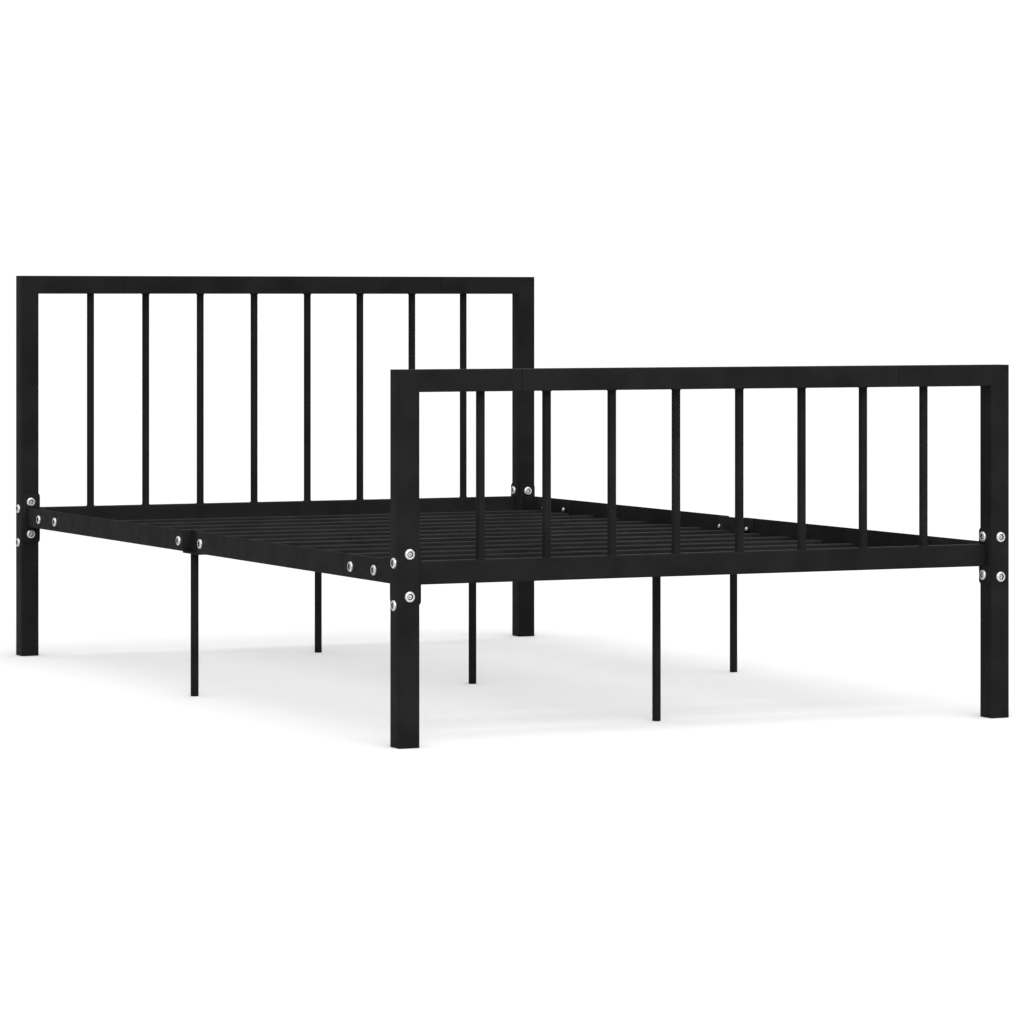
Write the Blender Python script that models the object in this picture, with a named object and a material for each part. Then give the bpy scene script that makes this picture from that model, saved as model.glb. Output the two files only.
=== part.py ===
"""Metal bed frame: barred headboard and footboard, two-piece side rails, slat bases and thin support legs.

Metres, +Z up, the floor at Z = 0. +X is the right side seen from the footboard, +Y runs to the headboard.
Every piece is first drawn at the left foot corner: u is the distance from the outer left face of the posts,
v the distance from the outer end face of the board. place() then moves or mirrors it to where it belongs.
"""

import math

import bmesh
import bpy

# Overall sizes, over the square posts
WIDTH = 1.265
LENGTH = 2.112
FOOT_HEIGHT = 0.669
HEAD_HEIGHT = 0.845
GAP = 0.0003

# Square tube of the posts and of the boards' top rails
POST = 0.040
TUBE_WALL = 0.0015
POST_RADIUS = 0.002
FOOT_PLATE = 0.002
SEAM = 0.241
SPIGOT_LENGTH = 0.040
SPIGOT_COLLAR = (0.003, 0.012)
SPIGOT_RADIUS = 0.0024

# Lower cross rail and round bars of the boards
CROSS_RAIL_LOW = 0.2868
CROSS_RAIL_HIGH = 0.3286
CROSS_RAIL_FRONT = 0.019
CROSS_RAIL_DEPTH = 0.020
CROSS_RAIL_RADIUS = 0.003
INNER_RADIUS = 0.0015
BAR_COUNT = 8
BAR_PITCH = 0.13165
BAR_RADIUS = 0.008
BAR_BORE = 0.0068
BAR_INTO_ARM = 0.006
BORE_INTO_RAIL = 0.008

# Bolted plates: end plates of the centre panels and post plates of the rail brackets
PLATE = 0.003
PLATE_LOW = 0.252
PLATE_HIGH = 0.360
PLATE_INSET = 0.001
PLATE_CORNER = 0.009

# Side rails, steel angle
RAIL_OUTER = 0.010
RAIL_SHEET = 0.0025
RAIL_LOW = 0.2870
RAIL_HIGH = 0.3300
RAIL_FLANGE = 0.040
RAIL_BEND = 0.003
RAIL_MID_END = 0.0415

# Brackets behind the side rails
TAB_LOW = RAIL_LOW + RAIL_SHEET + 0.0004
WEB_INNER = 0.0313
WEB_END = 0.122
TAB_END = 0.257
MID_TAB_END = 0.075
MID_FLOOR_LOW = 0.2842
MID_FLOOR_HIGH = 0.2868
MID_FLOOR_DEPTH = 0.0345

# Middle cross beam and its saddle
BEAM_HALF = 0.015
BEAM_LOW = 0.2850
SADDLE_HALF_X = 0.0175
SADDLE_HALF_Y = 0.060
SADDLE_LOW = 0.2762
VENT_RADIUS = 0.004

# Slat bases
SLAT_TOP = 0.3018
SLAT_LOW = RAIL_LOW + RAIL_SHEET + GAP
SLAT_WALL = 0.0012
SLAT_HALF = 0.016
SLAT_RADIUS = 0.002
SLAT_COUNT = 7
SLAT_PITCH = 0.130
SLAT_END = 0.0355
BASE_BEAM_LOW = 0.2795
BASE_BEAM_OVERHANG = 0.014

# Round support legs, each pushed over a stub
LEG_RADIUS = 0.008
LEG_BORE = 0.0067
LEG_FOOT = 0.003
STUB_RADIUS = 0.0064
STUB_LENGTH = 0.024
MID_LEG_U = 0.0202
OUTER_LEG_V = 0.233

# Bolts with a low round head and a hexagon socket, and the nuts welded to the frame
HEAD_RADIUS = 0.0095
HEAD_RIM = 0.0026
HEAD_THICKNESS = 0.0042
HEAD_TOP_RADIUS = 0.0076
SHANK_RADIUS = 0.004
SOCKET_RADIUS = 0.0050
SOCKET_DEPTH = 0.0024
HOLE_RADIUS = 0.0043
NUT_RADIUS = 0.0072
NUT_THICKNESS = 0.006
BLIND_HOLE = 0.012
FOOT_RAIL_BOLT_Z = (0.3427, 0.2675)
HEAD_RAIL_BOLT_Z = (0.3420, 0.2710)
PANEL_BOLT_Z = (0.3430, 0.2705)
OUTER_BOLT_Z = (0.3266, 0.2515)
PANEL_BOLT_FROM_FRONT = 0.022
SIDE_BOLT_Z = 0.3073
SIDE_BOLT_V = (0.1315, 0.2380)
MID_BOLT = 0.060
SHORT_SHANK = 0.0155
OUTER_SHANK = 0.0123
SIDE_SHANK = 0.0148

ROUND_SEGMENTS = 16
HOLE_SEGMENTS = 12
CORNER_SEGMENTS = 3
CUT_OVERRUN = 0.001
WELD_OVERLAP = 0.0006
SMOOTH_ANGLE = math.radians(35)

MIDDLE = LENGTH / 2
BAR_FROM_FRONT = CROSS_RAIL_FRONT + CROSS_RAIL_DEPTH / 2
# Bolt heads stand out at the foot end only, so the frame sits half a head off the middle of its own box.
MIDDLE_Y = (GAP + HEAD_THICKNESS) / 2

PAINT = ("black_powder_coat", (0.016, 0.016, 0.017, 1.0), 0.0, 0.45)
BASE_PAINT = ("black_base_coat", (0.020, 0.020, 0.021, 1.0), 0.0, 0.55)
ZINC = ("bright_zinc", (0.62, 0.62, 0.60, 1.0), 1.0, 0.30)


def clear_scene():
    for obj in list(bpy.data.objects):
        bpy.data.objects.remove(obj, do_unlink=True)


def material(look):
    name, colour, metallic, roughness = look
    found = bpy.data.materials.get(name)
    if found is not None:
        return found
    made = bpy.data.materials.new(name)
    made.use_nodes = True
    shader = made.node_tree.nodes["Principled BSDF"]
    shader.inputs["Base Color"].default_value = colour
    shader.inputs["Metallic"].default_value = metallic
    shader.inputs["Roughness"].default_value = roughness
    made.diffuse_color = colour
    return made


def solid_from(name, rings):
    """A closed mesh through rings of equal length, with a flat cap at each end."""
    mesh = bmesh.new()
    loops = [[mesh.verts.new(point) for point in ring] for ring in rings]
    count = len(rings[0])
    for low, high in zip(loops, loops[1:]):
        for i in range(count):
            j = (i + 1) % count
            mesh.faces.new((low[i], low[j], high[j], high[i]))
    mesh.faces.new(loops[0][::-1])
    mesh.faces.new(loops[-1])
    bmesh.ops.recalc_face_normals(mesh, faces=mesh.faces)
    data = bpy.data.meshes.new(name)
    mesh.to_mesh(data)
    mesh.free()
    obj = bpy.data.objects.new(name, data)
    bpy.context.scene.collection.objects.link(obj)
    return obj


def prism(axis, outline, start, stop):
    """The outline, given in the plane of the other two axes in u, v, z order, drawn out along the axis."""
    index = "uvz".index(axis)
    rings = []
    for level in (start, stop):
        ring = []
        for a, b in outline:
            point = [a, b]
            point.insert(index, level)
            ring.append(point)
        rings.append(ring)
    return solid_from("prism", rings)


def box(u, v, z):
    return prism("z", [(u[0], v[0]), (u[1], v[0]), (u[1], v[1]), (u[0], v[1])], z[0], z[1])


def rounded(low_a, high_a, low_b, high_b, radius):
    """Corner points of a rectangle with rounded corners, anticlockwise."""
    centres = (
        (high_a - radius, high_b - radius),
        (low_a + radius, high_b - radius),
        (low_a + radius, low_b + radius),
        (high_a - radius, low_b + radius),
    )
    points = []
    for quarter, (a, b) in enumerate(centres):
        for step in range(CORNER_SEGMENTS + 1):
            angle = math.pi / 2 * (quarter + step / CORNER_SEGMENTS)
            points.append((a + radius * math.cos(angle), b + radius * math.sin(angle)))
    return points


def circle(a, b, radius, segments=HOLE_SEGMENTS, turn=0.0):
    angles = [turn + 2 * math.pi * i / segments for i in range(segments)]
    return [(a + radius * math.cos(angle), b + radius * math.sin(angle)) for angle in angles]


def hexagon(a, b, radius):
    return circle(a, b, radius, segments=6, turn=math.pi / 6)


def weld_nut(axis, a, b, start, stop):
    return prism(axis, hexagon(a, b, NUT_RADIUS), start, stop)


def bolt_hole(axis, a, b, start, stop):
    return prism(axis, circle(a, b, HOLE_RADIUS), start, stop)


def combine(base, operation, tools):
    """Joins the tools to the base or cuts them from it, and removes them."""
    for tool in tools:
        modifier = base.modifiers.new("combine", "BOOLEAN")
        modifier.operation = operation
        modifier.solver = "EXACT"
        modifier.object = tool
        bpy.context.view_layer.update()
        graph = bpy.context.evaluated_depsgraph_get()
        result = bpy.data.meshes.new_from_object(base.evaluated_get(graph))
        base.modifiers.clear()
        base.data = result
        bpy.data.objects.remove(tool, do_unlink=True)
    return base


def place(obj, name, look, right=False, head=False):
    """Moves a piece from its drawing place to the left or right side and to the foot or head end."""
    mesh = bmesh.new()
    mesh.from_mesh(obj.data)
    for vertex in mesh.verts:
        x = vertex.co.x - WIDTH / 2
        y = vertex.co.y - LENGTH / 2
        vertex.co.x = -x if right else x
        vertex.co.y = MIDDLE_Y + (-y if head else y)
    if right != head:
        bmesh.ops.reverse_faces(mesh, faces=mesh.faces)
    mesh.to_mesh(obj.data)
    mesh.free()
    obj.data.materials.clear()
    obj.data.materials.append(material(look))
    for face in obj.data.polygons:
        face.material_index = 0
        face.use_smooth = True
    obj.data.set_sharp_from_angle(angle=SMOOTH_ANGLE)
    obj.name = name
    obj.data.name = name
    return obj


def mitred_tube(half, radius, low, height, arm_end):
    """A solid square bar up the post, round the mitred corner and along the arm."""
    axis_z = height - POST / 2
    profile = rounded(-half, half, -half, half, radius)
    post = [(POST / 2 + a, POST / 2 + b, low) for a, b in profile]
    corner = [(POST / 2 + a, POST / 2 + b, axis_z - a) for a, b in profile]
    arm = [(arm_end, POST / 2 + b, axis_z - a) for a, b in profile]
    return solid_from("tube", [post, corner, arm])


def corner_frame(height, head):
    """Post and top arm. A head post is drawn from its back face, so its bars and bolts lie the other way."""
    inner_half = POST / 2 - TUBE_WALL
    frame = mitred_tube(POST / 2, POST_RADIUS, 0.0, height, SEAM)
    inner_radius = POST_RADIUS - TUBE_WALL
    hollow = mitred_tube(inner_half, inner_radius, FOOT_PLATE, height, SEAM + CUT_OVERRUN)
    combine(frame, "DIFFERENCE", [hollow])
    panel_v = POST - PANEL_BOLT_FROM_FRONT if head else PANEL_BOLT_FROM_FRONT
    inner_nut = (POST - TUBE_WALL - NUT_THICKNESS, POST - TUBE_WALL + WELD_OVERLAP)
    outer_nut = (TUBE_WALL - WELD_OVERLAP, TUBE_WALL + NUT_THICKNESS)
    inner_hole = (POST - BLIND_HOLE, POST + CUT_OVERRUN)
    nuts = []
    holes = []
    for z in PANEL_BOLT_Z:
        nuts.append(weld_nut("u", panel_v, z, *inner_nut))
        holes.append(bolt_hole("u", panel_v, z, *inner_hole))
    for z in OUTER_BOLT_Z:
        nuts.append(weld_nut("u", POST / 2, z, *outer_nut))
        holes.append(bolt_hole("u", POST / 2, z, -CUT_OVERRUN, BLIND_HOLE))
    for z in HEAD_RAIL_BOLT_Z if head else FOOT_RAIL_BOLT_Z:
        if head:
            nuts.append(weld_nut("v", POST / 2, z, *inner_nut))
            holes.append(bolt_hole("v", POST / 2, z, *inner_hole))
        else:
            holes.append(bolt_hole("v", POST / 2, z, -CUT_OVERRUN, POST + CUT_OVERRUN))
    bar_v = POST - BAR_FROM_FRONT if head else BAR_FROM_FRONT
    bar_hole = circle(bar_positions()[0], bar_v, BAR_RADIUS + GAP, ROUND_SEGMENTS)
    holes.append(prism("z", bar_hole, height - POST - CUT_OVERRUN, height - POST / 2))
    combine(frame, "UNION", nuts)
    return combine(frame, "DIFFERENCE", holes)


def bar_positions():
    first = WIDTH / 2 - BAR_PITCH * (BAR_COUNT - 1) / 2
    return [first + BAR_PITCH * i for i in range(BAR_COUNT)]


def top_tube(height, inset, radius, start, stop):
    """A square bar with its faces this far inside those of the top rail, drawn along u."""
    outline = rounded(inset, POST - inset, height - POST + inset, height - inset, radius)
    return prism("u", outline, start, stop)


def spigot_parts(height, right):
    """Outer body of the spigot that slides into an arm, and the collar that welds it to the centre tube."""
    near, far = SEAM + SPIGOT_COLLAR[0], SEAM + SPIGOT_COLLAR[1]
    spans = [(SEAM - SPIGOT_LENGTH, far), (near, far)]
    if right:
        spans = [(WIDTH - high, WIDTH - low) for low, high in spans]
    body = top_tube(height, TUBE_WALL + GAP, SPIGOT_RADIUS, *spans[0])
    collar = top_tube(height, TUBE_WALL - GAP, SPIGOT_RADIUS, *spans[1])
    return [body, collar]


def end_plate(right):
    low, high = POST + GAP, POST + GAP + PLATE
    if right:
        low, high = WIDTH - high, WIDTH - low
    outline = rounded(PLATE_INSET, POST - PLATE_INSET, PLATE_LOW, PLATE_HIGH, PLATE_CORNER)
    return prism("u", outline, low, high)


def centre_panel(height):
    """Top centre tube, spigots, bars, lower cross rail and end plates, with v from the board's front."""
    rail_front, rail_back = CROSS_RAIL_FRONT, CROSS_RAIL_FRONT + CROSS_RAIL_DEPTH
    plate_face = POST + GAP + PLATE
    panel = top_tube(height, 0.0, POST_RADIUS, SEAM + GAP, WIDTH - SEAM - GAP)
    outer = spigot_parts(height, False) + spigot_parts(height, True)
    bores = []
    for i, u in enumerate(bar_positions()):
        plugged = i in (0, BAR_COUNT - 1)
        top = height - POST + (TUBE_WALL + BAR_INTO_ARM if plugged else WELD_OVERLAP)
        bore_top = top + CUT_OVERRUN if plugged else height - POST / 2
        body = circle(u, BAR_FROM_FRONT, BAR_RADIUS, ROUND_SEGMENTS)
        bore = circle(u, BAR_FROM_FRONT, BAR_BORE, ROUND_SEGMENTS)
        outer.append(prism("z", body, CROSS_RAIL_HIGH - WELD_OVERLAP, top))
        bores.append(prism("z", bore, CROSS_RAIL_HIGH - BORE_INTO_RAIL, bore_top))
    cross = rounded(rail_front, rail_back, CROSS_RAIL_LOW, CROSS_RAIL_HIGH, CROSS_RAIL_RADIUS)
    cross_rail = prism("u", cross, plate_face - WELD_OVERLAP, WIDTH - plate_face + WELD_OVERLAP)
    combine(cross_rail, "UNION", [end_plate(False), end_plate(True)])
    outer.append(cross_rail)
    # The bars touch both rails, so the cross rail joins the body last.
    combine(panel, "UNION", outer)
    cavity = rounded(
        rail_front + TUBE_WALL,
        rail_back - TUBE_WALL,
        CROSS_RAIL_LOW + TUBE_WALL,
        CROSS_RAIL_HIGH - TUBE_WALL,
        INNER_RADIUS,
    )
    spigot_wall = 2 * TUBE_WALL + GAP
    through = SEAM - SPIGOT_LENGTH - CUT_OVERRUN
    middle = SEAM + SPIGOT_COLLAR[1] + CUT_OVERRUN
    hollows = [
        prism("u", cavity, plate_face + WELD_OVERLAP, WIDTH - plate_face - WELD_OVERLAP),
        top_tube(height, spigot_wall, INNER_RADIUS, through, WIDTH - through),
        top_tube(height, TUBE_WALL, POST_RADIUS - TUBE_WALL, middle, WIDTH - middle),
    ]
    holes = []
    near_hole = (POST - CUT_OVERRUN, plate_face + CUT_OVERRUN)
    far_hole = (WIDTH - near_hole[1], WIDTH - near_hole[0])
    for z in PANEL_BOLT_Z:
        holes.append(bolt_hole("u", PANEL_BOLT_FROM_FRONT, z, *near_hole))
        holes.append(bolt_hole("u", PANEL_BOLT_FROM_FRONT, z, *far_hole))
    return combine(panel, "DIFFERENCE", hollows + bores + holes)


def side_rail():
    """Half of a side rail: the upright leaf outside and the flat leaf turned in at the bottom."""
    inside = RAIL_OUTER + RAIL_SHEET
    bend = [
        (RAIL_OUTER + RAIL_BEND * (1 - math.cos(angle)), RAIL_LOW + RAIL_BEND * (1 - math.sin(angle)))
        for angle in [math.pi / 2 * step / CORNER_SEGMENTS for step in range(CORNER_SEGMENTS + 1)]
    ]
    outline = bend + [
        (RAIL_OUTER + RAIL_FLANGE, RAIL_LOW),
        (RAIL_OUTER + RAIL_FLANGE, RAIL_LOW + RAIL_SHEET),
        (inside, RAIL_LOW + RAIL_SHEET),
        (inside, RAIL_HIGH),
        (RAIL_OUTER, RAIL_HIGH),
    ]
    rail = prism("v", outline, POST + 2 * GAP + PLATE, MIDDLE - RAIL_MID_END)
    holes = []
    for v in SIDE_BOLT_V + (MIDDLE - MID_BOLT,):
        holes.append(bolt_hole("u", v, SIDE_BOLT_Z, RAIL_OUTER - CUT_OVERRUN, inside + CUT_OVERRUN))
    return combine(rail, "DIFFERENCE", holes)


def tab_nut_and_hole(v):
    """A nut welded behind a tab, and the bolt hole through both."""
    face = RAIL_OUTER + RAIL_SHEET + GAP
    back = face + PLATE
    nut = weld_nut("u", v, SIDE_BOLT_Z, back - WELD_OVERLAP, back + NUT_THICKNESS)
    hole = bolt_hole("u", v, SIDE_BOLT_Z, face - CUT_OVERRUN, back + NUT_THICKNESS + CUT_OVERRUN)
    return nut, hole


def rail_bracket(head):
    """Post plate, offset web, and the tab that lies behind the side rail."""
    tab_face = RAIL_OUTER + RAIL_SHEET + GAP
    plate_v = (POST + GAP, POST + GAP + PLATE)
    height = (TAB_LOW, RAIL_HIGH)
    outline = rounded(PLATE_INSET, POST - PLATE_INSET, PLATE_LOW, PLATE_HIGH, PLATE_CORNER)
    bracket = prism("v", outline, *plate_v)
    strip = [
        (WEB_INNER - PLATE, plate_v[1] - WELD_OVERLAP),
        (WEB_INNER, plate_v[1] - WELD_OVERLAP),
        (WEB_INNER, WEB_END),
        (tab_face + PLATE, WEB_END),
        (tab_face + PLATE, TAB_END),
        (tab_face, TAB_END),
        (tab_face, WEB_END - PLATE),
        (WEB_INNER - PLATE, WEB_END - PLATE),
    ]
    joined = [prism("z", strip, *height)]
    holes = []
    for v in SIDE_BOLT_V:
        nut, hole = tab_nut_and_hole(v)
        joined.append(nut)
        holes.append(hole)
    for z in HEAD_RAIL_BOLT_Z if head else FOOT_RAIL_BOLT_Z:
        hole_stop = plate_v[1] + CUT_OVERRUN
        if not head:
            hole_stop += NUT_THICKNESS
            nut_span = (plate_v[1] - WELD_OVERLAP, plate_v[1] + NUT_THICKNESS)
            joined.append(weld_nut("v", POST / 2, z, *nut_span))
        holes.append(bolt_hole("v", POST / 2, z, plate_v[0] - CUT_OVERRUN, hole_stop))
    combine(bracket, "UNION", joined)
    return combine(bracket, "DIFFERENCE", holes)


def stub(u, v, top):
    return prism("z", circle(u, v, STUB_RADIUS), top - STUB_LENGTH, top + WELD_OVERLAP)


def mid_bracket(right):
    """Hat-shaped bracket, open to the outside, with a floor for the leg and a tab behind each rail half."""
    tab_face = RAIL_OUTER + RAIL_SHEET + GAP
    wall = RAIL_MID_END - GAP
    edge = RAIL_OUTER + GAP
    hat = [
        (edge, MIDDLE + wall - PLATE),
        (edge, MIDDLE + wall),
        (WEB_INNER, MIDDLE + wall),
        (WEB_INNER, MIDDLE - wall),
        (edge, MIDDLE - wall),
        (edge, MIDDLE - wall + PLATE),
        (WEB_INNER - PLATE, MIDDLE - wall + PLATE),
        (WEB_INNER - PLATE, MIDDLE + wall - PLATE),
    ]
    bracket = prism("z", hat, MID_FLOOR_LOW, RAIL_HIGH)
    floor = box((edge, MID_FLOOR_DEPTH), (MIDDLE - wall, MIDDLE + wall), (MID_FLOOR_LOW, MID_FLOOR_HIGH))
    joined = [floor, stub(MID_LEG_U, MIDDLE, MID_FLOOR_LOW)]
    holes = []
    for side in (-1, 1):
        near = MIDDLE + side * (wall - PLATE / 2)
        far = MIDDLE + side * MID_TAB_END
        span = (min(near, far), max(near, far))
        joined.append(box((tab_face, tab_face + PLATE), span, (TAB_LOW, RAIL_HIGH)))
        nut, hole = tab_nut_and_hole(MIDDLE + side * MID_BOLT)
        joined.append(nut)
        holes.append(hole)
    combine(bracket, "UNION", joined)
    combine(bracket, "DIFFERENCE", holes)
    if right:
        mirror_across(bracket)
    return bracket


def mirror_across(obj):
    """Mirrors a piece from the left side to the right side, still in drawing coordinates."""
    mesh = bmesh.new()
    mesh.from_mesh(obj.data)
    for vertex in mesh.verts:
        vertex.co.x = WIDTH - vertex.co.x
    bmesh.ops.reverse_faces(mesh, faces=mesh.faces)
    mesh.to_mesh(obj.data)
    mesh.free()


def mid_cross_frame():
    """Middle cross beam with a bracket welded to each end, and the saddle that carries the slat bases."""
    centre = WIDTH / 2
    across = (MIDDLE - BEAM_HALF, MIDDLE + BEAM_HALF)
    beam_end = WEB_INNER - WELD_OVERLAP
    frame = box((beam_end, WIDTH - beam_end), across, (BEAM_LOW, SLAT_TOP))
    saddle_wall = (centre - BEAM_HALF, centre + BEAM_HALF)
    plate_top = SADDLE_LOW + PLATE
    joined = [
        box(saddle_wall, across, (plate_top - WELD_OVERLAP, BEAM_LOW + WELD_OVERLAP)),
        box(
            (centre - SADDLE_HALF_X, centre + SADDLE_HALF_X),
            (MIDDLE - SADDLE_HALF_Y, MIDDLE + SADDLE_HALF_Y),
            (SADDLE_LOW, plate_top),
        ),
        stub(centre, MIDDLE, SADDLE_LOW),
    ]
    combine(frame, "UNION", joined)
    hollow_across = (across[0] + TUBE_WALL, across[1] - TUBE_WALL)
    hollow_end = WEB_INNER + WELD_OVERLAP
    hollows = [
        box((hollow_end, WIDTH - hollow_end), hollow_across, (BEAM_LOW + TUBE_WALL, SLAT_TOP - TUBE_WALL)),
        box(
            (saddle_wall[0] + TUBE_WALL, saddle_wall[1] - TUBE_WALL),
            (hollow_across[0] + CUT_OVERRUN, hollow_across[1] - CUT_OVERRUN),
            (plate_top + CUT_OVERRUN, BEAM_LOW + 2 * TUBE_WALL),
        ),
    ]
    for u in (centre / 2, WIDTH - centre / 2):
        vent = circle(u, MIDDLE, VENT_RADIUS)
        hollows.append(prism("z", vent, BEAM_LOW - CUT_OVERRUN, BEAM_LOW + 2 * TUBE_WALL))
    combine(frame, "DIFFERENCE", hollows)
    return combine(frame, "UNION", [mid_bracket(False), mid_bracket(True)])


def slat_base():
    """Half base: a lengthwise beam on the centre line with slats of flat tube welded across it."""
    centre = WIDTH / 2
    far_slat = MIDDLE - SLAT_PITCH * SLAT_COUNT
    along = (far_slat - SLAT_HALF - BASE_BEAM_OVERHANG, MIDDLE - BEAM_HALF - 2 * GAP)
    base = box((centre - BEAM_HALF, centre + BEAM_HALF), along, (BASE_BEAM_LOW, SLAT_LOW + WELD_OVERLAP))
    slats = []
    hollows = []
    for k in range(1, SLAT_COUNT + 1):
        v = MIDDLE - SLAT_PITCH * k
        outline = rounded(v - SLAT_HALF, v + SLAT_HALF, SLAT_LOW, SLAT_TOP, SLAT_RADIUS)
        slats.append(prism("u", outline, SLAT_END, WIDTH - SLAT_END))
        inside = SLAT_HALF - SLAT_WALL
        hollow = box(
            (SLAT_END - CUT_OVERRUN, WIDTH - SLAT_END + CUT_OVERRUN),
            (v - inside, v + inside),
            (SLAT_LOW + SLAT_WALL, SLAT_TOP - SLAT_WALL),
        )
        hollows.append(hollow)
    slats.append(stub(centre, OUTER_LEG_V, BASE_BEAM_LOW))
    combine(base, "UNION", slats)
    hollows.append(
        box(
            (centre - BEAM_HALF + TUBE_WALL, centre + BEAM_HALF - TUBE_WALL),
            (along[0] - CUT_OVERRUN, along[1] + CUT_OVERRUN),
            (BASE_BEAM_LOW + TUBE_WALL, SLAT_LOW - TUBE_WALL / 2),
        )
    )
    return combine(base, "DIFFERENCE", hollows)


def leg(u, v, top):
    tube = prism("z", circle(u, v, LEG_RADIUS, ROUND_SEGMENTS), 0.0, top - GAP)
    bore = prism("z", circle(u, v, LEG_BORE, ROUND_SEGMENTS), LEG_FOOT, top + CUT_OVERRUN)
    return combine(tube, "DIFFERENCE", [bore])


def bolt(axis, a, b, seat, outward, shank):
    """A bolt on an axis through a, b. Its head rests just off the seat and points outward (+1 or -1)."""
    index = "uvz".index(axis)
    seat += outward * GAP
    profile = (
        (SHANK_RADIUS, -shank),
        (SHANK_RADIUS, 0.0),
        (HEAD_RADIUS, 0.0),
        (HEAD_RADIUS, HEAD_RIM),
        (HEAD_TOP_RADIUS, HEAD_THICKNESS),
    )
    rings = []
    for radius, along in profile:
        ring = []
        for pair in circle(a, b, radius, ROUND_SEGMENTS):
            point = list(pair)
            point.insert(index, seat + outward * along)
            ring.append(point)
        rings.append(ring)
    body = solid_from("bolt", rings)
    floor = seat + outward * (HEAD_THICKNESS - SOCKET_DEPTH)
    top = seat + outward * (HEAD_THICKNESS + CUT_OVERRUN)
    socket = prism(axis, hexagon(a, b, SOCKET_RADIUS), min(floor, top), max(floor, top))
    return combine(body, "DIFFERENCE", [socket])


def post_bolts(corner, right, head):
    plate_face = POST + GAP + PLATE
    panel_v = POST - PANEL_BOLT_FROM_FRONT if head else PANEL_BOLT_FROM_FRONT
    rail_z = HEAD_RAIL_BOLT_Z if head else FOOT_RAIL_BOLT_Z
    for level, z_rail, z_panel, z_outer in zip(("upper", "lower"), rail_z, PANEL_BOLT_Z, OUTER_BOLT_Z):
        if head:
            rail = bolt("v", POST / 2, z_rail, plate_face, 1, SHORT_SHANK)
        else:
            rail = bolt("v", POST / 2, z_rail, 0.0, -1, plate_face + NUT_THICKNESS)
        place(rail, f"bolt_rail_{corner}_{level}", ZINC, right, head)
        panel = bolt("u", panel_v, z_panel, plate_face, 1, SHORT_SHANK)
        place(panel, f"bolt_panel_{corner}_{level}", ZINC, right, head)
        outer = bolt("u", POST / 2, z_outer, 0.0, -1, OUTER_SHANK)
        place(outer, f"bolt_outer_{corner}_{level}", ZINC, right, head)


def side_bolts(corner, right, head):
    places = {"end": SIDE_BOLT_V[0], "inner": SIDE_BOLT_V[1], "middle": MIDDLE - MID_BOLT}
    for word, v in places.items():
        made = bolt("u", v, SIDE_BOLT_Z, RAIL_OUTER, -1, SIDE_SHANK)
        place(made, f"bolt_side_{corner}_{word}", ZINC, right, head)


def build_corners():
    for head in (False, True):
        for right in (False, True):
            corner = ("head" if head else "foot") + "_" + ("right" if right else "left")
            height = HEAD_HEIGHT if head else FOOT_HEIGHT
            place(corner_frame(height, head), f"corner_frame_{corner}", PAINT, right, head)
            place(side_rail(), f"side_rail_{corner}", PAINT, right, head)
            place(rail_bracket(head), f"rail_bracket_{corner}", PAINT, right, head)
            post_bolts(corner, right, head)
            side_bolts(corner, right, head)


def build_boards():
    place(centre_panel(FOOT_HEIGHT), "centre_panel_foot", PAINT)
    panel = centre_panel(HEAD_HEIGHT)
    for vertex in panel.data.vertices:
        vertex.co.y += LENGTH - POST
    place(panel, "centre_panel_head", PAINT)


def build_base():
    place(mid_cross_frame(), "mid_cross_frame", PAINT)
    place(slat_base(), "slat_base_foot", BASE_PAINT)
    place(slat_base(), "slat_base_head", BASE_PAINT, head=True)


def build_legs():
    centre = WIDTH / 2
    place(leg(MID_LEG_U, MIDDLE, MID_FLOOR_LOW), "leg_mid_left", PAINT)
    place(leg(MID_LEG_U, MIDDLE, MID_FLOOR_LOW), "leg_mid_right", PAINT, right=True)
    place(leg(centre, MIDDLE, SADDLE_LOW), "leg_mid_centre", PAINT)
    place(leg(centre, OUTER_LEG_V, BASE_BEAM_LOW), "leg_centre_foot", PAINT)
    place(leg(centre, OUTER_LEG_V, BASE_BEAM_LOW), "leg_centre_head", PAINT, head=True)


clear_scene()
build_corners()
build_boards()
build_base()
build_legs()
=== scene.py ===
"""Looks of the metal bed frame: powder-coated tube and sheet, zinc bolts, weld beads, studio and camera.

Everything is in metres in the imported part's frame: +X right seen from the footboard, +Y to the headboard,
+Z up from the floor. Sizes that a node's box gives are read from it.
"""

import math

import bmesh
import bpy
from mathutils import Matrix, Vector


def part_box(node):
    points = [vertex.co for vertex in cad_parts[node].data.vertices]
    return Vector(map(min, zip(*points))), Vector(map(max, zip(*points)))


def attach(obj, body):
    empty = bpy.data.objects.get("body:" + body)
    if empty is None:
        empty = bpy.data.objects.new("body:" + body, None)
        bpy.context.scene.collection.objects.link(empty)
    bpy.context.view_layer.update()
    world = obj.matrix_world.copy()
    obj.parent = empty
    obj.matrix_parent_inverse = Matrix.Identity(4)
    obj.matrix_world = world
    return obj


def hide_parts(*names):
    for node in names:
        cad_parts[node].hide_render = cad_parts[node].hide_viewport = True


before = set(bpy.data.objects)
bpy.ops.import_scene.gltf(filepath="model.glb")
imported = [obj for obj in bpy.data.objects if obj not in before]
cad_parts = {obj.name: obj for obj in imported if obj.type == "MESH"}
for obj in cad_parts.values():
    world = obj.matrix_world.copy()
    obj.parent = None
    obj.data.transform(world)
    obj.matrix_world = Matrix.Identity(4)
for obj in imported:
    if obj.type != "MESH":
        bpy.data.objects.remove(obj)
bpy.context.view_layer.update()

# Softened edges: tube ends, folded sheet, the ends that meet at a seam, and legs
EDGE = 0.0005
SHEET_EDGE = 0.0004
SEAM_EDGE = 0.0011
LEG_EDGE = 0.0008

# Posts, arms and top tubes share one square tube, with an open seam between an arm and the top tube
POST_RADIUS = 0.002
SEAM_GAP = 0.0003

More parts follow.
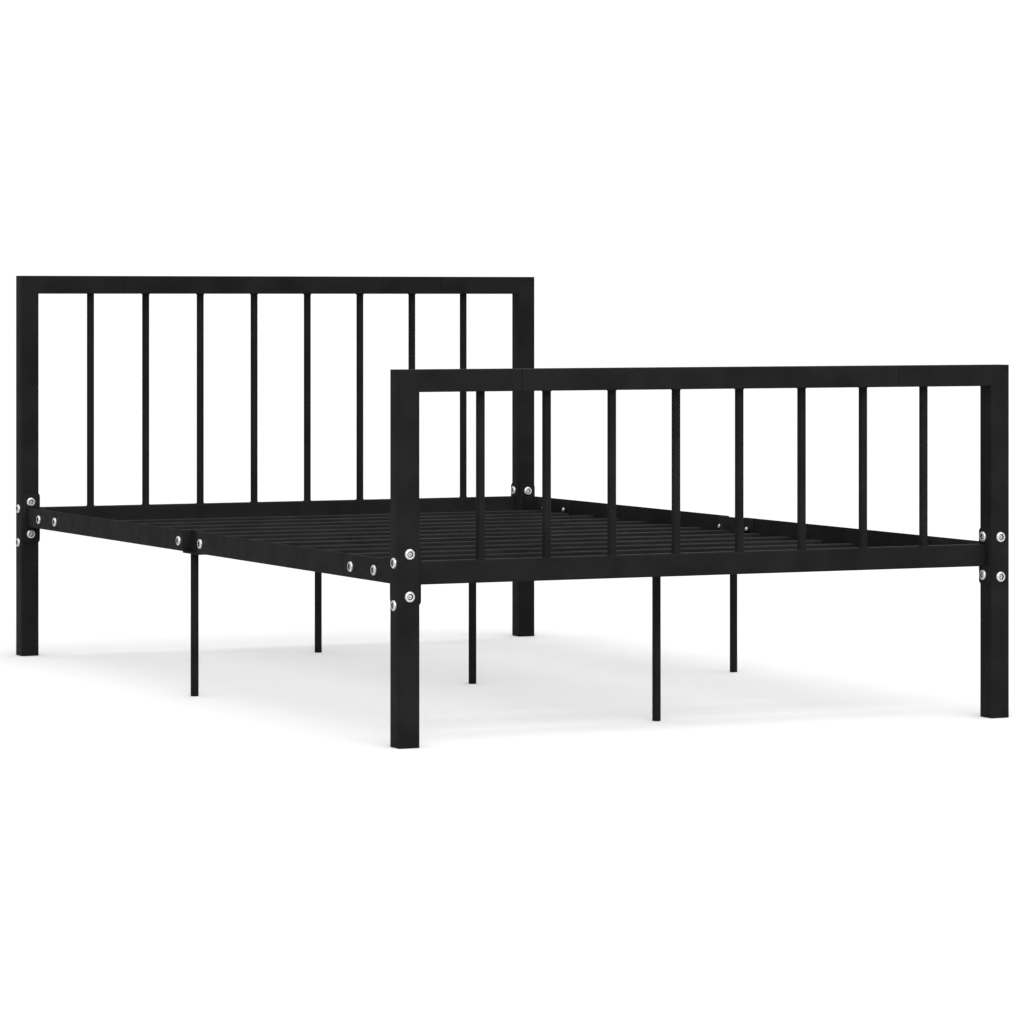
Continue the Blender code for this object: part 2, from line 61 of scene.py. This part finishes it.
BAR_COUNT = 8
BAR_PITCH = 0.13165
BAR_RADIUS = 0.008
BAR_FROM_FRONT = 0.029

CROSS_RAIL_LOW = 0.2868
CROSS_RAIL_HIGH = 0.3286
CROSS_RAIL_DEPTH = 0.020
CROSS_RAIL_RADIUS = 0.003

# End plates of a board, and the post plates of the rail brackets, which have the same thickness
PLATE = 0.003
PLATE_INSET = 0.001
PLATE_HIGH = 0.360
PLATE_CORNER = 0.009

RAIL_SHEET = 0.0025
RAIL_BEND = 0.003

# Bracket web: how far its two faces lie from the bracket's outer side, and where their welds start and stop
WEB_FACES = (0.0273, 0.0303)
WEB_WELD_LOW = 0.2925
WEB_WELD_HIGH = 0.3275

# Weld beads: radius, and how far the centre of a bead stands off the face that it lies on
BEAD = 0.0013
BEAD_LIFT = BEAD * 0.3
# Ripples and slower waves of a bead: share of its radius, then how many go round a ring,
# or radians per step of a line
RING_RIPPLE = (0.10, 18)
RING_WAVE = (0.07, 3)
RING_WAVE_START = 0.8
LINE_RIPPLE = (0.12, 1.9)
LINE_WAVE = (0.06, 0.43)
# A straight bead: length and least number of its steps, its thickness at the tip, and steps to the full one
LINE_STEP = 0.0011
LINE_FEWEST_STEPS = 8
LINE_TIP = 0.12
LINE_TIP_STEPS = 6

THREAD_PITCH = 0.00125
THREAD_DEPTH = 0.0004
THREAD_RUNOUT = 0.0012
SHANK_RADIUS = 0.004
SHANK_CHAMFER = 0.0009
HEAD_HEIGHT = 0.0042
BOLT_STEPS = 48

# Section of the bolt head, as (radius, height above the seat) in millimetres
DOME = (
    (9.2, 0.0),
    (9.5, 0.25),
    (9.5, 2.1),
    (9.3, 2.75),
    (8.8, 3.35),
    (8.1, 3.8),
    (7.3, 4.1),
    (6.8, 4.2),
    (6.4, 4.18),
)
SOCKET_WALL = ((6.15, 4.05), (5.85, 3.7), (5.5, 2.9), (5.0, 2.1), (4.1, 1.85))
SOCKET_FLOOR = ((3.9, 1.85), (2.6, 1.85), (1.3, 1.8))
DIMPLE = ((1.15, 1.5), (0.5, 1.2))

# Shading turns hard where faces meet at more than this
SHARP_ANGLE = math.radians(38)
# A softened node: points this close become one, and so do faces this flat. Edges sharper than the corner
# angle are rounded
MERGE_DISTANCE = 1e-5
FLAT_ANGLE = math.radians(1)
CORNER_ANGLE = math.radians(60)

# The usual spread of a noise, and the part of it that a tint goes through
NOISE_SPREAD = (0.3, 0.7)
TINT_SPREAD = (0.32, 0.68)

# Noises as (scale, detail), bumps as (strength, distance), and tints as shares of the colour, dark and light
BLACK = (0.0145, 0.0145, 0.0147)
BASE_BLACK = (0.0160, 0.0160, 0.0162)
COAT_IOR = 1.46
COAT_SPECULAR = 0.03
COAT_TINTS = (0.82, 1.22)
COAT_CLOUDS = (14.0, 4.0)
COAT_GLOSS = (38.0, 5.0)
COAT_SMOOTHER = 0.05
COAT_ROUGHER = 0.06
SWELLS = (120.0, 2.0)
SWELL_BUMP = (0.10, 0.0006)
PEEL = (850.0, 3.0)
PEEL_DISTANCE = 0.0002

ZINC = (0.90, 0.90, 0.89)
# Painted shade: a near-black zinc colour on the socket wall and round the dimple of each bolt head, standing
# in for the shade inside the socket
ZINC_PAINTED_SHADE = (0.045, 0.045, 0.043)
ZINC_METALLIC = 0.72
ZINC_TINTS = (0.86, 1.16)
ZINC_CLOUDS = (260.0, 4.0)
ZINC_GLOSS = (420.0, 5.0)
ZINC_MARKS = (2400.0, 3.0)
ZINC_MARK_BUMP = (0.12, 0.0001)

# The floor lies just below the feet. It throws back less light than it shows, to keep the paint dark
FLOOR_REACH = 4.5
FLOOR_DROP = 0.0005
FLOOR_TINTS = ((0.86, 0.86, 0.86), (0.90, 0.90, 0.90))
FLOOR_CLOUDS = (0.7, 2.0)
FLOOR_BOUNCE = 0.50
FLOOR_ROUGHNESS = 0.85
FLOOR_SPECULAR = 0.1

BACKGROUND_STRENGTH = 1.05
ROOM_STRENGTH = 0.44
SUN_STRENGTH = 2.55
SUN_SPREAD = math.radians(80)
SUN_TURN = (math.radians(12), math.radians(-1), 0.0)
SOFTBOX_PLACE = (-1.5, -7.0, 3.6)
SOFTBOX_TARGET = (0.0, 0.0, 0.5)
SOFTBOX_SIZE = (6.0, 4.0)
SOFTBOX_POWER = 240.0

CAMERA_PLACE = (-3.55768, -7.66813, 0.7962)
CAMERA_TURN = (math.radians(90.0), 0.0, math.radians(-25.4358))
CAMERA_SENSOR = 36.0
CAMERA_LENS = 144.05
CAMERA_SHIFT = -0.20931
CAMERA_CLIP = 200.0


# Materials


def add_noise(tree, place, scale, detail):
    noise = tree.nodes.new("ShaderNodeTexNoise")
    noise.inputs["Scale"].default_value = scale
    noise.inputs["Detail"].default_value = detail
    tree.links.new(place.outputs["Object"], noise.inputs["Vector"])
    return noise.outputs["Fac"]


def add_range(tree, value, low, high):
    """Turns the usual spread of a noise into a range of values."""
    spread = tree.nodes.new("ShaderNodeMapRange")
    spread.inputs["From Min"].default_value = NOISE_SPREAD[0]
    spread.inputs["From Max"].default_value = NOISE_SPREAD[1]
    spread.inputs["To Min"].default_value = low
    spread.inputs["To Max"].default_value = high
    tree.links.new(value, spread.inputs["Value"])
    return spread.outputs["Result"]


def add_tints(tree, value, dark, light):
    """Turns a noise into a colour between the two tints."""
    ramp = tree.nodes.new("ShaderNodeValToRGB")
    for stop, position, tint in zip(ramp.color_ramp.elements, TINT_SPREAD, (dark, light)):
        stop.position = position
        stop.color = (*tint, 1.0)
    tree.links.new(value, ramp.inputs["Fac"])
    return ramp.outputs["Color"]


def add_bump(tree, value, strength, distance, before=None):
    bump = tree.nodes.new("ShaderNodeBump")
    bump.inputs["Strength"].default_value = strength
    bump.inputs["Distance"].default_value = distance
    tree.links.new(value, bump.inputs["Height"])
    if before is not None:
        tree.links.new(before, bump.inputs["Normal"])
    return bump.outputs["Normal"]


def new_material(name):
    made = bpy.data.materials.new(name)
    made.use_nodes = True
    tree = made.node_tree
    place = tree.nodes.new("ShaderNodeTexCoord")
    return made, tree, tree.nodes["Principled BSDF"], place


def powder_coat(name, colour, roughness, peel):
    """Cured powder: a fine orange peel over slow swells, with a cloudy tint and a cloudy gloss."""
    made, tree, shader, place = new_material(name)
    shader.inputs["IOR"].default_value = COAT_IOR
    shader.inputs["Specular IOR Level"].default_value = COAT_SPECULAR
    dark, light = [[channel * share for channel in colour] for share in COAT_TINTS]
    tints = add_tints(tree, add_noise(tree, place, *COAT_CLOUDS), dark, light)
    tree.links.new(tints, shader.inputs["Base Color"])
    clouds = add_noise(tree, place, *COAT_GLOSS)
    gloss = add_range(tree, clouds, roughness - COAT_SMOOTHER, roughness + COAT_ROUGHER)
    tree.links.new(gloss, shader.inputs["Roughness"])
    swell = add_bump(tree, add_noise(tree, place, *SWELLS), *SWELL_BUMP)
    skin = add_bump(tree, add_noise(tree, place, *PEEL), peel, PEEL_DISTANCE, swell)
    tree.links.new(skin, shader.inputs["Normal"])
    return made


def bright_zinc(name, colour, smooth, rough):
    """Barrel-plated zinc: a little cloudy, with fine tumbling marks."""
    made, tree, shader, place = new_material(name)
    shader.inputs["Metallic"].default_value = ZINC_METALLIC
    dark, light = [[min(1.0, channel * share) for channel in colour] for share in ZINC_TINTS]
    tints = add_tints(tree, add_noise(tree, place, *ZINC_CLOUDS), dark, light)
    tree.links.new(tints, shader.inputs["Base Color"])
    gloss = add_range(tree, add_noise(tree, place, *ZINC_GLOSS), smooth, rough)
    tree.links.new(gloss, shader.inputs["Roughness"])
    marks = add_bump(tree, add_noise(tree, place, *ZINC_MARKS), *ZINC_MARK_BUMP)
    tree.links.new(marks, shader.inputs["Normal"])
    return made


# Shapes


def rounded(half_a, half_b, radius, steps=8):
    """Corner points of a centred rectangle with rounded corners, anticlockwise."""
    points = []
    signs = ((1, 1), (-1, 1), (-1, -1), (1, -1))
    for quarter, (side_a, side_b) in enumerate(signs):
        for step in range(steps + 1):
            angle = math.pi / 2 * (quarter + step / steps)
            a = side_a * (half_a - radius) + radius * math.cos(angle)
            b = side_b * (half_b - radius) + radius * math.sin(angle)
            points.append((a, b))
    return points


def circle(radius, steps=40):
    angles = [2 * math.pi * i / steps for i in range(steps)]
    return [(radius * math.cos(angle), radius * math.sin(angle)) for angle in angles]


def hexagon_ring(radius, steps):
    """Points round a hexagon, as many as a circle of these steps has, so that the two can be joined."""
    points = []
    for i in range(steps):
        angle = 2 * math.pi * i / steps
        within = (angle % (math.pi / 3)) - math.pi / 6
        reach = radius * math.cos(math.pi / 6) / math.cos(within)
        points.append((reach * math.cos(angle), reach * math.sin(angle)))
    return points


def loft(mesh, rings, painted_shade_bands=()):
    """Faces through rings of equal length, with a cap at each end. Bands of painted shade take the second
    material, a dark colour that stands in for shade.
    """
    loops = [[mesh.verts.new(point) for point in ring] for ring in rings]
    count = len(loops[0])
    for number, (low, high) in enumerate(zip(loops, loops[1:])):
        for i in range(count):
            j = (i + 1) % count
            face = mesh.faces.new((low[i], low[j], high[j], high[i]))
            face.material_index = 1 if number in painted_shade_bands else 0
    mesh.faces.new(loops[0][::-1])
    last = mesh.faces.new(loops[-1])
    last.material_index = 1 if painted_shade_bands else 0


def point_along(axis, level, a, b):
    """A point at this level of the axis, with a and b on the other two axes in x, y, z order."""
    point = [a, b]
    point.insert("xyz".index(axis), level)
    return point


def add_bar(mesh, axis, centre, half, radius, start, stop, edge=EDGE):
    """A bar of rounded rectangular section, its end edges softened."""
    full = rounded(half[0], half[1], radius)
    small = rounded(half[0] - edge, half[1] - edge, radius - edge)
    rings = []
    for outline, level in ((small, start), (full, start + edge), (full, stop - edge), (small, stop)):
        rings.append([point_along(axis, level, centre[0] + a, centre[1] + b) for a, b in outline])
    loft(mesh, rings)


def add_rod(mesh, centre, radius, low, high, edge=EDGE):
    """An upright round bar, its end edges softened."""
    full, small = circle(radius), circle(radius - edge)
    rings = []
    for outline, level in ((small, low), (full, low + edge), (full, high - edge), (small, high)):
        rings.append([(centre[0] + a, centre[1] + b, level) for a, b in outline])
    loft(mesh, rings)


def add_bead_ring(mesh, centre, radius, level, steps=72, sides=10):
    """A weld bead laid round a bar, with the ripples of the weld pool."""
    loops = []
    for i in range(steps):
        turn = 2 * math.pi * i / steps
        ripple = RING_RIPPLE[0] * math.sin(RING_RIPPLE[1] * turn)
        wave = RING_WAVE[0] * math.sin(RING_WAVE[1] * turn + RING_WAVE_START)
        thick = BEAD * (1.0 + ripple + wave)
        loop = []
        for a, b in circle(thick, sides):
            reach = radius + a
            point = (centre[0] + reach * math.cos(turn), centre[1] + reach * math.sin(turn), level + b)
            loop.append(mesh.verts.new(point))
        loops.append(loop)
    for i in range(steps):
        first, second = loops[i], loops[(i + 1) % steps]
        for k in range(sides):
            n = (k + 1) % sides
            mesh.faces.new((first[k], first[n], second[n], second[k]))


def add_bead_line(mesh, axis, start, stop, a, b, sides=10):
    """A straight weld bead along an axis, thin at its two tips."""
    steps = max(LINE_FEWEST_STEPS, int((stop - start) / LINE_STEP))
    rings = []
    for i in range(steps + 1):
        level = start + (stop - start) * i / steps
        from_tip = min(i, steps - i) / LINE_TIP_STEPS
        taper = math.sin(math.pi * min(1.0, LINE_TIP + from_tip) / 2)
        ripple = LINE_RIPPLE[0] * math.sin(i * LINE_RIPPLE[1])
        wave = LINE_WAVE[0] * math.sin(i * LINE_WAVE[1])
        thick = BEAD * taper * (1.0 + ripple + wave)
        rings.append([point_along(axis, level, a + x, b + y) for x, y in circle(thick, sides)])
    loft(mesh, rings)


def make_piece(name, mesh, look, nodes=()):
    bmesh.ops.recalc_face_normals(mesh, faces=mesh.faces)
    data = bpy.data.meshes.new(name)
    mesh.to_mesh(data)
    mesh.free()
    data.materials.append(look)
    for face in data.polygons:
        face.use_smooth = True
    data.set_sharp_from_angle(angle=SHARP_ANGLE)
    piece = bpy.data.objects.new(name, data)
    bpy.context.scene.collection.objects.link(piece)
    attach(piece, "root")
    if nodes:
        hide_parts(*nodes)
    return piece


# Pieces of the frame


def side_and_reach(low, high):
    """The side of the frame that a box is on, as -1 or 1, and its outer and inner x."""
    side = -1 if low[0] < 0 else 1
    near, far = sorted((abs(low[0]), abs(high[0])))
    return side, side * far, side * near


def coated_corner(node, look):
    """Square tube from the floor up the post, round the mitre and along the top arm."""
    low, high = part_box(node)
    half = (high[1] - low[1]) / 2
    side, outer, arm_end = side_and_reach(low, high)
    post_x = outer - side * half
    centre_y = (low[1] + high[1]) / 2
    arm_z = high[2] - half
    full = rounded(half, half, POST_RADIUS)
    small = rounded(half - EDGE, half - EDGE, POST_RADIUS - EDGE)
    seam = rounded(half - SEAM_EDGE, half - SEAM_EDGE, POST_RADIUS - SEAM_EDGE)
    rings = [
        [(post_x + side * a, centre_y + b, low[2]) for a, b in small],
        [(post_x + side * a, centre_y + b, low[2] + EDGE) for a, b in full],
        [(post_x + side * a, centre_y + b, arm_z + a) for a, b in full],
        [(arm_end + side * SEAM_EDGE, centre_y + b, arm_z + a) for a, b in full],
        [(arm_end, centre_y + b, arm_z + a) for a, b in seam],
    ]
    mesh = bmesh.new()
    loft(mesh, rings)
    make_piece(node + "_coated", mesh, look, [node])
    return arm_end


def bar_positions():
    first = -BAR_PITCH * (BAR_COUNT - 1) / 2
    return [first + BAR_PITCH * i for i in range(BAR_COUNT)]


def coated_panel(node, arm_end, look):
    """Top tube, round bars, lower cross rail and end plates of a board, each a smooth tube or plate."""
    low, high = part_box(node)
    centre_y = (low[1] + high[1]) / 2
    half = (high[1] - low[1]) / 2
    tube_end = abs(arm_end) - SEAM_GAP
    tube_centre = (centre_y, high[2] - half)
    tube_low = high[2] - 2 * half
    mesh = bmesh.new()
    add_bar(mesh, "x", tube_centre, (half, half), POST_RADIUS, -tube_end, tube_end, edge=SEAM_EDGE)
    make_piece(node + "_top_tube", mesh, look, [node])

    bar_y = low[1] + BAR_FROM_FRONT
    rail_half = (CROSS_RAIL_DEPTH / 2, (CROSS_RAIL_HIGH - CROSS_RAIL_LOW) / 2)
    rail_z = (CROSS_RAIL_LOW + CROSS_RAIL_HIGH) / 2
    rail_end = high[0] - PLATE
    mesh = bmesh.new()
    add_bar(mesh, "x", (bar_y, rail_z), rail_half, CROSS_RAIL_RADIUS, -rail_end, rail_end)
    make_piece(node + "_cross_rail", mesh, look, [node])

    mesh = bmesh.new()
    for x in bar_positions():
        add_rod(mesh, (x, bar_y), BAR_RADIUS, CROSS_RAIL_HIGH, tube_low)
    make_piece(node + "_bars", mesh, look, [node])

    plate_half = (half - PLATE_INSET, (PLATE_HIGH - low[2]) / 2)
    plate_z = (PLATE_HIGH + low[2]) / 2
    for word, start in (("left", low[0]), ("right", high[0] - PLATE)):
        mesh = bmesh.new()
        add_bar(mesh, "x", (centre_y, plate_z), plate_half, PLATE_CORNER, start, start + PLATE)
        make_piece(f"{node}_plate_{word}", mesh, look, [node])

    mesh = bmesh.new()
    for i, x in enumerate(bar_positions()):
        add_bead_ring(mesh, (x, bar_y), BAR_RADIUS, CROSS_RAIL_HIGH + BEAD_LIFT)
        if 0 < i < BAR_COUNT - 1:
            add_bead_ring(mesh, (x, bar_y), BAR_RADIUS, tube_low - BEAD_LIFT)
    bead_low = CROSS_RAIL_LOW + CROSS_RAIL_RADIUS
    bead_high = CROSS_RAIL_HIGH - CROSS_RAIL_RADIUS
    for x in (-rail_end + BEAD_LIFT, rail_end - BEAD_LIFT):
        for y in (bar_y - rail_half[0] + BEAD / 2, bar_y + rail_half[0] - BEAD / 2):
            add_bead_line(mesh, "z", bead_low, bead_high, x, y)
    make_piece(node + "_welds", mesh, look, [node])


def coated_side_rail(node, look, steps=8):
    """Folded steel angle: upright leaf outside, flat leaf turned in below, with a round bend."""
    low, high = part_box(node)
    side, outer, inner = side_and_reach(low, high)
    lip = SHEET_EDGE
    sheet_x = outer - side * RAIL_SHEET
    sheet_z = low[2] + RAIL_SHEET
    outline = []
    for step in range(steps + 1):
        angle = math.pi / 2 * step / steps
        x = outer - side * RAIL_BEND * (1 - math.cos(angle))
        outline.append((x, low[2] + RAIL_BEND * (1 - math.sin(angle))))
    outline += [
        (inner + side * lip, low[2]),
        (inner, low[2] + lip),
        (inner, sheet_z - lip),
        (inner + side * lip, sheet_z),
        (sheet_x - side * lip, sheet_z),
        (sheet_x, sheet_z + lip),
        (sheet_x, high[2] - lip),
        (sheet_x + side * lip, high[2]),
        (outer - side * lip, high[2]),
        (outer, high[2] - lip),
    ]
    mesh = bmesh.new()
    loft(mesh, [[(x, y, z) for x, z in outline] for y in (low[1], high[1])])
    make_piece(node + "_coated", mesh, look, [node])


def softened(node, look):
    """The node's own shape with its flat faces joined up and its outer edges slightly rounded."""
    mesh = bmesh.new()
    mesh.from_mesh(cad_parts[node].data)
    bmesh.ops.remove_doubles(mesh, verts=mesh.verts, dist=MERGE_DISTANCE)
    bmesh.ops.dissolve_limit(mesh, angle_limit=FLAT_ANGLE, verts=mesh.verts, edges=mesh.edges)
    corners = []
    for edge in mesh.edges:
        if edge.is_manifold and edge.is_convex and edge.calc_face_angle() > CORNER_ANGLE:
            corners.append(edge)
    bmesh.ops.bevel(
        mesh, geom=corners, offset=SHEET_EDGE, segments=2, profile=0.5, affect="EDGES", clamp_overlap=True
    )
    make_piece(node + "_coated", mesh, look, [node])


def bracket_welds(node, look):
    """Beads down both sides of the web where it meets the post plate."""
    low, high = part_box(node)
    side, outer, _ = side_and_reach(low, high)
    at_foot = low[1] < 0
    plate_y = low[1] + PLATE + BEAD_LIFT if at_foot else high[1] - PLATE - BEAD_LIFT
    mesh = bmesh.new()
    for depth in WEB_FACES:
        add_bead_line(mesh, "z", WEB_WELD_LOW, WEB_WELD_HIGH, outer - side * depth, plate_y)
    make_piece(node + "_welds", mesh, look)


def coated_leg(node, look):
    low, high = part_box(node)
    radius = (high[0] - low[0]) / 2
    centre = ((low[0] + high[0]) / 2, (low[1] + high[1]) / 2)
    mesh = bmesh.new()
    add_rod(mesh, centre, radius, low[2], high[2], edge=LEG_EDGE)
    make_piece(node + "_coated", mesh, look, [node])


# Bolts


def shank_rings(shank):
    """Rings of a threaded shank as (outline, height) pairs, from its end up to the seat of the head."""
    crest = circle(SHANK_RADIUS, BOLT_STEPS)
    root = circle(SHANK_RADIUS - THREAD_DEPTH, BOLT_STEPS)
    rings = [(circle(SHANK_RADIUS - SHANK_CHAMFER, BOLT_STEPS), -shank)]
    for turn in range(int((shank - THREAD_RUNOUT) / THREAD_PITCH)):
        level = -shank + SHANK_CHAMFER + turn * THREAD_PITCH
        rings += [(crest, level), (root, level + THREAD_PITCH / 2)]
    rings.append((crest, 0.0))
    return rings


def section_rings(outline, section):
    """Rings of a section given in millimetres, as (outline, height) pairs in metres."""
    return [(outline(radius / 1000, BOLT_STEPS), level / 1000) for radius, level in section]


def zinc_bolt(node, zinc, painted_shade_zinc):
    """A low-headed bolt in place of the plain one. Its head points away from its seat, as its name says."""
    low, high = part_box(node)
    centre = (Vector(low) + Vector(high)) / 2
    kind = node.split("_")[1]
    if kind == "rail":
        axis, outward = "y", -1
    else:
        axis = "x"
        side = -1 if centre.x < 0 else 1
        outward = -side if kind == "panel" else side
    index = "xyz".index(axis)
    end = high[index] if outward > 0 else low[index]
    seat = end - outward * HEAD_HEIGHT
    others = [centre[i] for i in range(3) if i != index]

    outlines = shank_rings(high[index] - low[index] - HEAD_HEIGHT)
    outlines += section_rings(circle, DOME)
    # The socket wall and the dimple take the painted shade: a near-black zinc that stands in for the shade
    # deep in the socket
    wall = range(len(outlines), len(outlines) + len(SOCKET_WALL) - 1)
    outlines += section_rings(hexagon_ring, SOCKET_WALL + SOCKET_FLOOR)
    dimple = range(len(outlines) - 1, len(outlines) + len(DIMPLE) - 1)
    outlines += section_rings(circle, DIMPLE)
    rings = []
    for outline, level in outlines:
        ring = [point_along(axis, seat + outward * level, others[0] + a, others[1] + b) for a, b in outline]
        rings.append(ring)
    mesh = bmesh.new()
    loft(mesh, rings, [*wall, *dimple])
    piece = make_piece(node + "_zinc", mesh, zinc, [node])
    piece.data.materials.append(painted_shade_zinc)


# Studio


def add_floor():
    """A pale floor that is darker for every ray but the camera's."""
    data = bpy.data.meshes.new("studio_floor")
    reach = FLOOR_REACH
    corners = [(-reach, -reach, 0), (reach, -reach, 0), (reach, reach, 0), (-reach, reach, 0)]
    data.from_pydata(corners, [], [(0, 1, 2, 3)])
    floor = bpy.data.objects.new("studio_floor", data)
    floor.location.z = -FLOOR_DROP
    bpy.context.scene.collection.objects.link(floor)
    made, tree, shader, place = new_material("pale_floor")
    tints = add_tints(tree, add_noise(tree, place, *FLOOR_CLOUDS), *FLOOR_TINTS)
    rays = tree.nodes.new("ShaderNodeLightPath")
    shown = tree.nodes.new("ShaderNodeMix")
    shown.data_type = "RGBA"
    shown.inputs["A"].default_value = (FLOOR_BOUNCE, FLOOR_BOUNCE, FLOOR_BOUNCE, 1.0)
    tree.links.new(rays.outputs["Is Camera Ray"], shown.inputs["Factor"])
    tree.links.new(tints, shown.inputs["B"])
    tree.links.new(shown.outputs["Result"], shader.inputs["Base Color"])
    shader.inputs["Roughness"].default_value = FLOOR_ROUGHNESS
    shader.inputs["Specular IOR Level"].default_value = FLOOR_SPECULAR
    data.materials.append(made)


def add_world():
    """White behind the object, and a dimmer room for everything that it lights and reflects."""
    world = bpy.data.worlds.new("studio")
    world.use_nodes = True
    tree = world.node_tree
    shown = tree.nodes["Background"]
    room = tree.nodes.new("ShaderNodeBackground")
    for white, strength in ((shown, BACKGROUND_STRENGTH), (room, ROOM_STRENGTH)):
        white.inputs["Color"].default_value = (1.0, 1.0, 1.0, 1.0)
        white.inputs["Strength"].default_value = strength
    rays = tree.nodes.new("ShaderNodeLightPath")
    mix = tree.nodes.new("ShaderNodeMixShader")
    tree.links.new(rays.outputs["Is Camera Ray"], mix.inputs["Fac"])
    tree.links.new(room.outputs["Background"], mix.inputs[1])
    tree.links.new(shown.outputs["Background"], mix.inputs[2])
    tree.links.new(mix.outputs["Shader"], tree.nodes["World Output"].inputs["Surface"])
    bpy.context.scene.world = world


def add_sun():
    """A broad, soft light from overhead."""
    data = bpy.data.lights.new("overhead", "SUN")
    data.energy = SUN_STRENGTH
    data.angle = SUN_SPREAD
    light = bpy.data.objects.new("overhead", data)
    light.rotation_euler = SUN_TURN
    bpy.context.scene.collection.objects.link(light)


def add_softbox():
    """A large soft light in front of the footboard, on the left."""
    data = bpy.data.lights.new("front_softbox", "AREA")
    data.shape = "RECTANGLE"
    data.size, data.size_y = SOFTBOX_SIZE
    data.energy = SOFTBOX_POWER
    light = bpy.data.objects.new("front_softbox", data)
    light.location = SOFTBOX_PLACE
    aim = Vector(SOFTBOX_TARGET) - Vector(SOFTBOX_PLACE)
    light.rotation_euler = aim.to_track_quat("-Z", "Y").to_euler()
    bpy.context.scene.collection.objects.link(light)


def add_camera():
    """A long lens held level, with its view shifted down so that uprights stay upright."""
    data = bpy.data.cameras.new("camera")
    data.sensor_width = CAMERA_SENSOR
    data.lens = CAMERA_LENS
    data.shift_y = CAMERA_SHIFT
    data.clip_end = CAMERA_CLIP
    camera = bpy.data.objects.new("camera", data)
    camera.location = CAMERA_PLACE
    camera.rotation_euler = CAMERA_TURN
    bpy.context.scene.collection.objects.link(camera)
    bpy.context.scene.camera = camera


def build_looks():
    paint = powder_coat("coat_black", BLACK, roughness=0.42, peel=0.16)
    base_paint = powder_coat("coat_base", BASE_BLACK, roughness=0.52, peel=0.20)
    zinc = bright_zinc("zinc_bright", ZINC, smooth=0.26, rough=0.42)
    # Painted shade: a dark zinc for the inside of the bolt heads' sockets, where shade falls
    painted_shade_zinc = bright_zinc("zinc_painted_shade", ZINC_PAINTED_SHADE, smooth=0.45, rough=0.60)
    for end in ("foot", "head"):
        arm_end = coated_corner(f"corner_frame_{end}_left", paint)
        coated_corner(f"corner_frame_{end}_right", paint)
        coated_panel(f"centre_panel_{end}", arm_end, paint)
        softened(f"slat_base_{end}", base_paint)
    softened("mid_cross_frame", paint)
    for node in list(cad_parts):
        if node.startswith("side_rail"):
            coated_side_rail(node, paint)
        elif node.startswith("rail_bracket"):
            softened(node, paint)
            bracket_welds(node, paint)
        elif node.startswith("leg_"):
            coated_leg(node, paint)
        elif node.startswith("bolt_"):
            zinc_bolt(node, zinc, painted_shade_zinc)


build_looks()
add_floor()
add_world()
add_sun()
add_softbox()
add_camera()
bpy.context.scene.view_settings.view_transform = "Standard"
